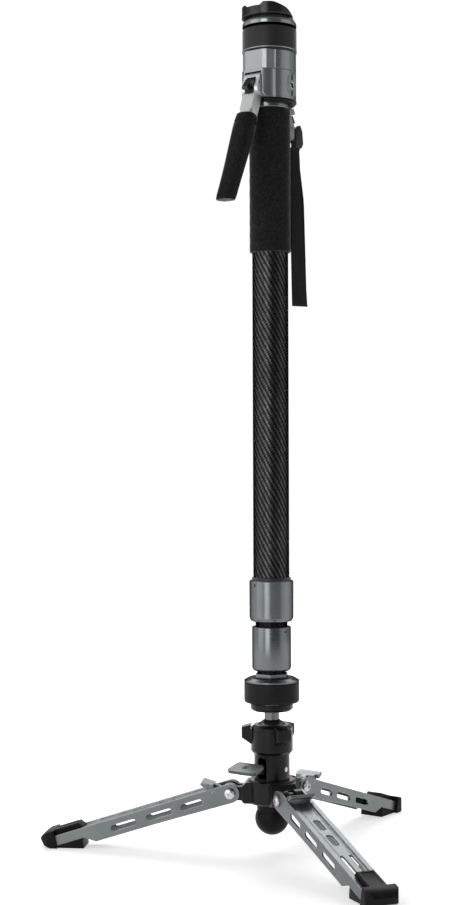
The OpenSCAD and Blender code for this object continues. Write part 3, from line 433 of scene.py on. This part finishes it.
COLLAR_UP, COLLAR_DOWN, COLLAR_SEAT = 0.0020, 0.0014, 0.002
COLLAR_IN, COLLAR_BORE = 0.0161, 0.0144
FOOT_ROUND = [(0.004, 0.0), (0.0016, 0.001), (0.0005, 0.0024), (0.0, 0.004)]
TOP_ROUND = [(0.0, 0.001), (0.0003, 0.0003), (0.001, 0.0)]
collar_low, collar_high = (corner.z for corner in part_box("middle_collar"))
collar_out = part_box("middle_collar")[1].x
collar_foot, collar_top = collar_low - COLLAR_DOWN, collar_high + COLLAR_UP
seat = collar_low + COLLAR_SEAT
collar = turned_piece("long_collar", [(COLLAR_BORE, collar_foot)]
                      + [(collar_out - inward, collar_foot + up) for inward, up in FOOT_ROUND]
                      + [(collar_out - inward, collar_top - down) for inward, down in TOP_ROUND]
                      + [(COLLAR_IN, collar_top), (COLLAR_IN, seat), (COLLAR_BORE, seat),
                         (COLLAR_BORE, collar_foot)])
collar.data.materials.append(turned_skin)
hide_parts("middle_collar")
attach(collar, "middle")

SCREW_TURN, SCREW_DROP, SCREW_SUNK = math.radians(81), 0.0045, 0.0004
SCREW_RADIUS, SCREW_LONG = 0.0014, 0.001
SCREW_OUT = Vector((math.sin(SCREW_TURN), -math.cos(SCREW_TURN), 0))
screw_place = SCREW_OUT * (collar_out - SCREW_SUNK) + Vector((0, 0, collar_top - SCREW_DROP))
bpy.ops.object.select_all(action="DESELECT")
bpy.ops.mesh.primitive_cylinder_add(vertices=32, radius=SCREW_RADIUS, depth=SCREW_LONG,
                                    location=screw_place, rotation=(math.radians(90), 0, SCREW_TURN))
grub = new_piece("collar_grub_screw")
bpy.ops.object.transform_apply(location=True, rotation=True, scale=True)
bpy.ops.object.shade_smooth_by_angle(angle=math.radians(40))
grub.data.materials.append(black_plastic)
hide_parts("middle_screw")
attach(grub, "middle")


# Edge rolls of the housing: the milled side pads end in a rounded lip beside the relieved front. Each is of
# the housing's own alloy, polished, but wears the pale lever skin as a painted highlight, and catches the
# light in one fine upright line.
ROLL_TURN, ROLL_DEEP, ROLL_WIDE = math.radians(42.0), 0.0010, 0.0014
ROLL_UP, ROLL_CLEAR, ROLL_PROUD = 0.0016, 0.0003, 0.0002
roll_foot, roll_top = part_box("housing")[0].z + ROLL_UP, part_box("panel_ring")[0].z - ROLL_CLEAR
roll_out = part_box("housing")[1].x + ROLL_PROUD
for side, turn in (("right", ROLL_TURN), ("left", -ROLL_TURN)):
    outward = Vector((math.sin(turn), -math.cos(turn), 0))
    bpy.ops.object.select_all(action="DESELECT")
    bpy.ops.mesh.primitive_cylinder_add(vertices=64, radius=1, depth=1, location=(0, 0, 0))
    roll = new_piece(side + "_edge_roll")
    roll.matrix_world = (Matrix.Translation(outward * roll_out + Vector((0, 0, (roll_foot + roll_top) / 2)))
                         @ Matrix.Rotation(math.atan2(outward.y, outward.x), 4, "Z")
                         @ Matrix.Diagonal((ROLL_DEEP, ROLL_WIDE, roll_top - roll_foot, 1)))
    bpy.ops.object.transform_apply(location=True, rotation=True, scale=True)
    bpy.ops.object.shade_smooth_by_angle(angle=math.radians(40))
    # The pale lever skin on the rolls is a painted highlight.
    roll.data.materials.append(lever_skin)
    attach(roll, "upper")


# Rim of the accessory hole: a thin steel ring pressed in flush round the thread.
# It is left bright and stands out from the grey plate.
SOCKET_TURN, RIM_RADIUS, RIM_WIRE = math.radians(96), 0.0033, 0.0005
SOCKET_OUT = Vector((math.sin(SOCKET_TURN), -math.cos(SOCKET_TURN), 0))
socket_face = max(SOCKET_OUT.dot(v.co) for v in nodes["accessory_socket"].data.vertices)
socket_mid = sum(corner.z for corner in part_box("accessory_socket")) / 2
bpy.ops.object.select_all(action="DESELECT")
bpy.ops.mesh.primitive_torus_add(major_segments=48, minor_segments=12,
                                 major_radius=RIM_RADIUS, minor_radius=RIM_WIRE,
                                 location=SOCKET_OUT * socket_face + Vector((0, 0, socket_mid)),
                                 rotation=(math.radians(90), 0, SOCKET_TURN))
rim = new_piece("accessory_rim")
bpy.ops.object.transform_apply(location=True, rotation=True, scale=True)
bpy.ops.object.shade_smooth()
rim.data.materials.append(bright_steel)
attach(rim, "upper")


# Foam sleeve on the upper tube: closed-cell foam, pushed on wet and held by its own grip.
# Its ends are cut square and rounded by hand, and its skin is dull with fine pores.
GRIP_IN, GRIP_OUT = 0.01806, 0.0205
grip_low, grip_high = (corner.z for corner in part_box("grip"))


def foam_skin(name):
    finish, tree, shader, place = start_finish(name, 0.0, 0.9, 0.15)
    cells = tree.nodes.new("ShaderNodeTexVoronoi")
    cells.inputs["Scale"].default_value = 950
    tree.links.new(place, cells.inputs["Vector"])
    cloud = noise(tree, place, 70, 5)
    specks = arith(tree, "MULTIPLY", spread(tree, noise(tree, place, 620, 2), 0.38, 0.66, 0.0, 1.0),
                   spread(tree, cloud, 0.35, 0.65, 0.6, 1.0))
    tree.links.new(tint(tree, specks, (0.004, 0.004, 0.0043), (0.018, 0.018, 0.0187)),
                   shader.inputs["Base Color"])
    tree.links.new(spread(tree, cells.outputs["Distance"], 0.0, 0.6, 0.98, 0.82), shader.inputs["Roughness"])
    height = arith(tree, "ADD", cells.outputs["Distance"],
                   arith(tree, "MULTIPLY", noise(tree, place, 420, 4), 0.9))
    raise_grain(tree, shader, height, 0.00036)
    shader.inputs["Sheen Weight"].default_value = 0.5
    shader.inputs["Sheen Roughness"].default_value = 0.2
    return finish


foam = foam_skin("dull_foam")
rounding = [(1 - math.cos(math.radians(a)), 1 - math.sin(math.radians(a))) for a in range(0, 91, 15)]
ROUND, UNEVEN, RINGS = 0.0016, 0.00012, 24
lower_round = [(GRIP_OUT - ROUND * v, grip_low + ROUND * u) for u, v in rounding]
upper_round = [(GRIP_OUT - ROUND * v, grip_high - ROUND * u) for u, v in reversed(rounding)]
body = [(GRIP_OUT + UNEVEN * math.sin(9 * k), grip_low + (grip_high - grip_low) * k / RINGS)
        for k in range(1, RINGS)]
sleeve = turned_piece("foam_sleeve", [(GRIP_IN, grip_low)] + lower_round + body + upper_round
                      + [(GRIP_IN, grip_high), (GRIP_IN, grip_low)])
sleeve.data.materials.append(foam)
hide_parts("grip")
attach(sleeve, "upper")


# Lever sleeve: the same foam in a flattened, tapering shape, pushed over the tongue of the lever.
# A narrow collar is moulded round its top and the end is closed and rounded.
pin_low, pin_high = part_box("lever_pin")
LEVER_PIN = (pin_low + pin_high) / 2
LEVER_OPEN = math.radians(20.35)
FOAM_TOP, SQUARENESS = 0.0398, 2.8
lever_place = (Matrix.Translation(LEVER_PIN) @ Matrix.Rotation(math.radians(-90), 4, "Z")
               @ Matrix.Rotation(-LEVER_OPEN, 4, "Y"))

bpy.ops.object.select_all(action="DESELECT")
bpy.ops.mesh.primitive_circle_add(vertices=64, radius=1, location=(0, 0, 0))
handle = new_piece("lever_sleeve")
for v in handle.data.vertices:
    angle = math.atan2(v.co.y, v.co.x)
    square = (abs(math.cos(angle)) ** SQUARENESS + abs(math.sin(angle)) ** SQUARENESS) ** (-1 / SQUARENESS)
    v.co.x, v.co.y = square * math.cos(angle), square * math.sin(angle)
bpy.ops.object.mode_set(mode="EDIT")
bpy.ops.mesh.select_all(action="SELECT")
deep, wide, lean = 0.0088, 0.0109, 0.0008
now_deep, now_wide = deep * 0.86, wide * 0.9
bpy.ops.transform.resize(value=(now_deep, now_wide, 1), center_override=(0, 0, 0))
bpy.ops.mesh.edge_face_add()
bpy.ops.transform.translate(value=(lean, 0, -FOAM_TOP))
stations = [(0.0006, 0.93, 0.95, 0.0), (0.0088, 1.01, 1.01, 0.0), (0.0094, 0.95, 0.97, 0.0),
            (0.0102, 0.95, 0.97, 0.0), (0.011, 1.02, 1.01, 0.0002), (0.024, 1.01, 1.0, 0.0004),
            (0.037, 0.98, 0.975, 0.0008), (0.053, 0.92, 0.93, 0.0014), (0.067, 0.88, 0.895, 0.0021),
            (0.079, 0.86, 0.875, 0.0028), (0.0898, 0.86, 0.87, 0.0034), (0.0928, 0.84, 0.86, 0.0036),
            (0.0944, 0.8, 0.82, 0.0036)]
END_CUT = {0.079: 2, 0.0898: 5, 0.0928: 6, 0.0944: 4}
done, shifted = 0.0, 0.0
for reach, fat, broad, out in stations:
    bpy.ops.mesh.extrude_region_move(TRANSFORM_OT_translate={"value": (out - shifted, 0, done - reach)})
    bpy.ops.transform.resize(value=(deep * fat / now_deep, wide * broad / now_wide, 1),
                             center_override=(lean + out, 0, -FOAM_TOP - reach))
    if reach in END_CUT:
        bpy.ops.transform.rotate(value=-math.radians(END_CUT[reach]), orient_axis="Y",
                                 center_override=(lean + out, 0, -FOAM_TOP - reach))
    now_deep, now_wide, done, shifted = deep * fat, wide * broad, reach, out
bpy.ops.mesh.select_all(action="SELECT")
bpy.ops.mesh.normals_make_consistent(inside=False)
bpy.ops.object.mode_set(mode="OBJECT")
handle.matrix_world = lever_place
bpy.ops.object.transform_apply(location=True, rotation=True, scale=True)
bpy.ops.object.shade_smooth_by_angle(angle=math.radians(50))
handle.data.materials.append(foam)
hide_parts("lever_grip")
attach(handle, "lever")


# Strap buckle: one piece of black plastic hung in the eye of the lug, with two slots for the webbing.
# It is moulded, so all its edges are well rounded.
buckle = loose_copy("strap_buckle", "moulded_buckle")
BUCKLE_LIFT, BUCKLE_SOLE, BUCKLE_EASE = 0.0024, 0.004, 0.0014
buckle_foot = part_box("strap_buckle")[0].z
for v in buckle.data.vertices:
    v.co.z += BUCKLE_LIFT if v.co.z < buckle_foot + BUCKLE_SOLE else 0.0
round_edges(buckle, BUCKLE_EASE)
buckle.data.materials.clear()
buckle.data.materials.append(black_plastic)
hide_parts("strap_buckle")
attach(buckle, "wrist_strap")


# Wrist strap: flat woven webbing, threaded through the buckle, hanging double with a fold at the foot.
# The two layers lie a little out of line, and the rear one is painted dark as painted shade, so it shows as
# a dark edge.
# A small black keeper sits in the notch of the lug and holds the buckle in its eye.
STRAP_TURN = math.radians(155)
OUT = Vector((math.sin(STRAP_TURN), -math.cos(STRAP_TURN), 0))
BESIDE = Vector((-OUT.y, OUT.x, 0))
strap_low, strap_high = (corner.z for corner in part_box("strap"))

neck_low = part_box("neck_ring")[0].z
KEEPER_TILT, KEEPER_RADIUS, KEEPER_DROP = math.radians(20.6), 0.02625, 0.00725
KEEPER_SIZE, KEEPER_EASE = (0.0024, 0.004, 0.008), 0.0006
keeper_up = Vector((0, 0, math.cos(KEEPER_TILT))) - OUT * math.sin(KEEPER_TILT)
keeper_out = Vector((0, 0, math.sin(KEEPER_TILT))) + OUT * math.cos(KEEPER_TILT)
bpy.ops.object.select_all(action="DESELECT")
bpy.ops.mesh.primitive_cube_add(size=1, location=(0, 0, 0))
keeper = new_piece("strap_keeper")
keeper.matrix_world = (Matrix.Translation(OUT * KEEPER_RADIUS + Vector((0, 0, neck_low - KEEPER_DROP)))
                       @ Matrix((keeper_out, keeper_up.cross(keeper_out), keeper_up)).transposed().to_4x4()
                       @ Matrix.Diagonal((*KEEPER_SIZE, 1)))
bpy.ops.object.transform_apply(location=True, rotation=True, scale=True)
round_edges(keeper, KEEPER_EASE)
keeper.data.materials.append(black_plastic)
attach(keeper, "upper")


STRAP_THICK, SEAM_DROP = 0.0013, 0.044
WEFT, WARP = 0.0011, 0.0014


def webbing_skin(name):
    finish, tree, shader, place = start_finish(name, 0.0, 0.8, 0.2)
    turned = scaled_place(tree, place, (1, 1, 1), -math.atan2(OUT.y, OUT.x))
    split = tree.nodes.new("ShaderNodeSeparateXYZ")
    tree.links.new(turned, split.inputs["Vector"])
    cross = arith(tree, "SINE", arith(tree, "MULTIPLY", split.outputs["Z"], 2 * math.pi / WEFT))
    along = arith(tree, "SINE", arith(tree, "MULTIPLY", split.outputs["X"], 2 * math.pi / WARP))
    weave = arith(tree, "MULTIPLY", cross, along)
    cloud = noise(tree, place, 140, 4)
    tone = arith(tree, "ADD", spread(tree, weave, -1, 1, 0.0, 0.6), spread(tree, cloud, 0.3, 0.7, 0.0, 0.4))
    from_seam = arith(tree, "ABSOLUTE", arith(tree, "SUBTRACT", split.outputs["Z"], strap_high - SEAM_DROP))
    cloth = arith(tree, "MULTIPLY", tone, spread(tree, from_seam, 0.0003, 0.0007, 0.0, 1.0))
    # Painted shade: the rear layer is painted a tenth as bright as the front one.
    cloth = arith(tree, "MULTIPLY", cloth, spread(tree, split.outputs["Y"], -0.0004, 0.0004, 1.0, 0.1))
    tree.links.new(tint(tree, cloth, (0.0008, 0.0008, 0.0009), (0.017, 0.017, 0.0175)),
                   shader.inputs["Base Color"])
    tree.links.new(spread(tree, cloud, 0.3, 0.7, 0.7, 0.9), shader.inputs["Roughness"])
    raise_grain(tree, shader, weave, 0.00012)
    shader.inputs["Sheen Weight"].default_value = 0.05
    return finish


STRAP_IN, STRAP_LEAN, TONGUE = 0.0225, 0.0033, 0.0044
TOP_WIDE, FLARE, FLARE_DROP, TAPER = 0.0106, 0.0056, 0.05, 0.0012
SET_BACK, SET_BACK_DROP, RETURN_FROM, RETURNED = 0.0048, 0.045, 0.45, 0.75
FRONT_SIDE, REAR_SIDE, REAR_OUT, STRAP_STEPS = -0.0015, 0.0015, 0.0006, 20
FOLD_ROOM, FOLD_DEEP, FOLD_OUT = 0.0009, 0.0004, 0.0003
drop_end = strap_high - strap_low - FOLD_ROOM


def strap_row(drop, side, offset, narrower=0.0, lift=0.0):
    low = STRAP_IN + offset + STRAP_LEAN * drop / drop_end
    width = TONGUE
    if drop >= 0:
        width = TOP_WIDE + FLARE * min(1, drop / FLARE_DROP) ** 0.9 + TAPER * drop / drop_end
    height = strap_high - drop + lift
    return (OUT * low + BESIDE * side + Vector((0, 0, height)),
            OUT * (low + width - offset - narrower) + BESIDE * side + Vector((0, 0, height)))


def front_set_back(drop):
    returned = RETURNED * max(0, drop / drop_end - RETURN_FROM) / (1 - RETURN_FROM)
    return SET_BACK * min(1, drop / SET_BACK_DROP) * (1 - returned)


drops = [drop_end * k / STRAP_STEPS for k in range(STRAP_STEPS + 1)]
rows = [strap_row(drop, side, 0.0)
        for drop, side in ((-0.0098, -0.0042), (-0.0032, -0.0042), (-0.0027, -0.0034))]
rows += [strap_row(0.0, -0.003, 0.0, 0.0, BUCKLE_LIFT)]
rows += [strap_row(drop, FRONT_SIDE, 0.0, front_set_back(drop)) for drop in drops]
rows += [strap_row(drop_end + FOLD_DEEP, FRONT_SIDE * math.cos(math.radians(a)), FOLD_OUT)
         for a in (60, 120)]
rows += [strap_row(drop, REAR_SIDE, REAR_OUT) for drop in reversed(drops)]
bpy.ops.object.select_all(action="DESELECT")
bpy.ops.mesh.primitive_plane_add(size=0.01, location=(0, 0, 0))
strap = new_piece("strap_webbing")
for v, where in zip(strap.data.vertices, (rows[0][0], rows[0][1], rows[1][0], rows[1][1])):
    v.co = where
bpy.ops.object.mode_set(mode="EDIT")
bpy.ops.mesh.select_mode(type="EDGE")
bpy.ops.mesh.select_all(action="DESELECT")
bpy.ops.object.mode_set(mode="OBJECT")
for edge in strap.data.edges:
    edge.select = set(edge.vertices) == {2, 3}
bpy.ops.object.mode_set(mode="EDIT")
for before, after in zip(rows[1:], rows[2:]):
    old = (before[0] + before[1]) / 2
    new = (after[0] + after[1]) / 2
    bpy.ops.mesh.extrude_edges_move(TRANSFORM_OT_translate={"value": tuple(new - old)})
    was, want = (before[1] - before[0]).length, (after[1] - after[0]).length
    if abs(want / was - 1) > 1e-5:
        bpy.ops.transform.resize(value=(want / was, want / was, 1), center_override=tuple(new))
bpy.ops.mesh.select_all(action="SELECT")
bpy.ops.mesh.subdivide(number_cuts=1)
bpy.ops.mesh.normals_make_consistent(inside=False)
bpy.ops.object.mode_set(mode="OBJECT")
wall = strap.modifiers.new("cloth_thickness", "SOLIDIFY")
wall.thickness = STRAP_THICK
wall.offset = 0
bpy.ops.object.modifier_apply(modifier="cloth_thickness")
bpy.ops.object.shade_smooth_by_angle(angle=math.radians(40))
strap.data.materials.append(webbing_skin("woven_webbing"))
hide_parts("strap")
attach(strap, "wrist_strap")


# Trim round the rubber lock ring: a thin turned alloy hoop let into it close to its lower edge.
# It is left bright and shows as a fine pale line above the housing.
pale_skin = anodised("pale_anodised", (0.3, 0.312, 0.318), (0.34, 0.352, 0.358), (0.6, 0.62, 0.63),
                     0.9, (0.22, 0.27), 90, 0.0000015, lines=(1, 1, 60), ease=0.0006)
ring_low, ring_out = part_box("lock_ring")[0].z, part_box("lock_ring")[1].x
TRIM_IN, TRIM_OUT, TRIM_LOW, TRIM_HIGH, TRIM_EASE = 0.0003, 0.00025, 0.0019, 0.003, 0.0002
hoop = turned_piece("lock_ring_trim", [(ring_out - TRIM_IN, ring_low + TRIM_LOW),
                                       (ring_out + TRIM_OUT - TRIM_EASE, ring_low + TRIM_LOW),
                                       (ring_out + TRIM_OUT, ring_low + TRIM_LOW + TRIM_EASE),
                                       (ring_out + TRIM_OUT, ring_low + TRIM_HIGH - TRIM_EASE),
                                       (ring_out + TRIM_OUT - TRIM_EASE, ring_low + TRIM_HIGH),
                                       (ring_out - TRIM_IN, ring_low + TRIM_HIGH),
                                       (ring_out - TRIM_IN, ring_low + TRIM_LOW)])
hoop.data.materials.append(pale_skin)
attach(hoop, "head_lock")


# Studio: a pale glowing floor that runs into a white backdrop, dark on the side of the camera,
# two tall soft boxes on the left, one on the right and a wide one above and behind.
# Two dark cards stand behind, 11 to 42 degrees to either side of the line of sight, and darken the outlines.
VIEW = math.radians(36.3)
back = Vector((math.sin(VIEW), -math.cos(VIEW), 0))
right = Vector((math.cos(VIEW), math.sin(VIEW), 0))

bpy.ops.object.select_all(action="DESELECT")
bpy.ops.mesh.primitive_plane_add(size=40, location=(0, 0, 0))
floor = bpy.context.object
floor.name = "floor"
floor_skin, floor_tree, floor_shader, floor_place = start_finish("pale_floor", 0.0, 0.7)
floor_tree.links.new(tint(floor_tree, noise(floor_tree, floor_place, 3), (0.83, 0.83, 0.83),
                          (0.86, 0.86, 0.86)), floor_shader.inputs["Base Color"])
floor_shader.inputs["Emission Color"].default_value = (1, 1, 1, 1)
ahead = floor_tree.nodes.new("ShaderNodeVectorMath")
ahead.operation = "DOT_PRODUCT"
ahead.inputs[1].default_value = back
floor_tree.links.new(floor_place, ahead.inputs[0])
floor_tree.links.new(spread(floor_tree, ahead.outputs["Value"], -0.4, 1.0, 0.6, 0.02),
                     floor_shader.inputs["Emission Strength"])
floor.data.materials.append(floor_skin)

world = bpy.data.worlds.new("studio")
bpy.context.scene.world = world
world.use_nodes = True
sky = world.node_tree
backdrop = sky.nodes["Background"]
facing = sky.nodes.new("ShaderNodeVectorMath")
facing.operation = "DOT_PRODUCT"
facing.inputs[1].default_value = -back * 0.94 - right * 0.34
toward = sky.nodes.new("ShaderNodeTexCoord").outputs["Generated"]
sky.links.new(toward, facing.inputs[0])
sky.links.new(tint(sky, spread(sky, facing.outputs["Value"], -0.5, 0.7, 0.0, 1.0), (0.14, 0.14, 0.14),
                   (1.02, 1.02, 1.02)), backdrop.inputs["Color"])
level_way = sky.nodes.new("ShaderNodeVectorMath")
level_way.operation = "MULTIPLY"
level_way.inputs[1].default_value = (1, 1, 0)
sky.links.new(toward, level_way.inputs[0])
unit_way = sky.nodes.new("ShaderNodeVectorMath")
unit_way.operation = "NORMALIZE"
sky.links.new(level_way.outputs["Vector"], unit_way.inputs[0])
behind = sky.nodes.new("ShaderNodeVectorMath")
behind.operation = "DOT_PRODUCT"
behind.inputs[1].default_value = -back
sky.links.new(unit_way.outputs["Vector"], behind.inputs[0])
CARD_INNER, CARD_OUTER, CARD_DARK = (0.982, 0.962), (0.74, 0.88), 0.35
card = arith(sky, "MULTIPLY", spread(sky, behind.outputs["Value"], *CARD_INNER, 0.0, 1.0),
             spread(sky, behind.outputs["Value"], *CARD_OUTER, 0.0, 1.0))
sky.links.new(spread(sky, card, 0.0, 1.0, 1.0, CARD_DARK), backdrop.inputs["Strength"])


def soft_light(name, place, target, wide, tall, power):
    bpy.ops.object.light_add(type="AREA", location=place)
    lamp = bpy.context.object
    lamp.name = name
    lamp.data.shape = "RECTANGLE"
    lamp.data.size = wide
    lamp.data.size_y = tall
    lamp.data.energy = power
    lamp.rotation_euler = (Vector(target) - Vector(place)).to_track_quat("-Z", "Y").to_euler()


soft_light("key_box", back * 1.8 - right * 0.85 + Vector((0, 0, 0.65)), (0, 0, 0.45), 0.85, 1.9, 15)
soft_light("left_box", back * 0.75 - right * 1.7 + Vector((0, 0, 0.9)), (0, 0, 0.45), 1.3, 1.9, 9)
soft_light("right_box", back * 0.5 + right * 1.65 + Vector((0, 0, 0.6)), (0, 0, 0.45), 1.4, 1.7, 5)
soft_light("top_box", -back * 1.8 + Vector((0, 0, 1.75)), (0, 0, 0.1), 2.4, 1.0, 26)
bpy.context.scene.view_settings.view_transform = "Standard"


# Camera: level, with a lens that gives each millimetre at the mast one of the picture's 905 rows.
# It stands a little left of the mast and is turned a fifth of a degree about its line of sight.
PICTURE_TALL, DISTANCE = 905, 1.62
ASIDE, EYE, ROLL = 0.0374, 0.3939, math.radians(0.2)
camera_data = bpy.data.cameras.new("camera")
camera_data.sensor_width = 36
camera_data.lens = camera_data.sensor_width * DISTANCE * 1000 / PICTURE_TALL
camera_data.shift_y = 3.5 / PICTURE_TALL
camera = bpy.data.objects.new("camera", camera_data)
bpy.context.scene.collection.objects.link(camera)
camera.location = back * DISTANCE - right * ASIDE + Vector((0, 0, EYE))
camera.rotation_euler = (math.radians(90), ROLL, VIEW)
bpy.context.scene.camera = camera
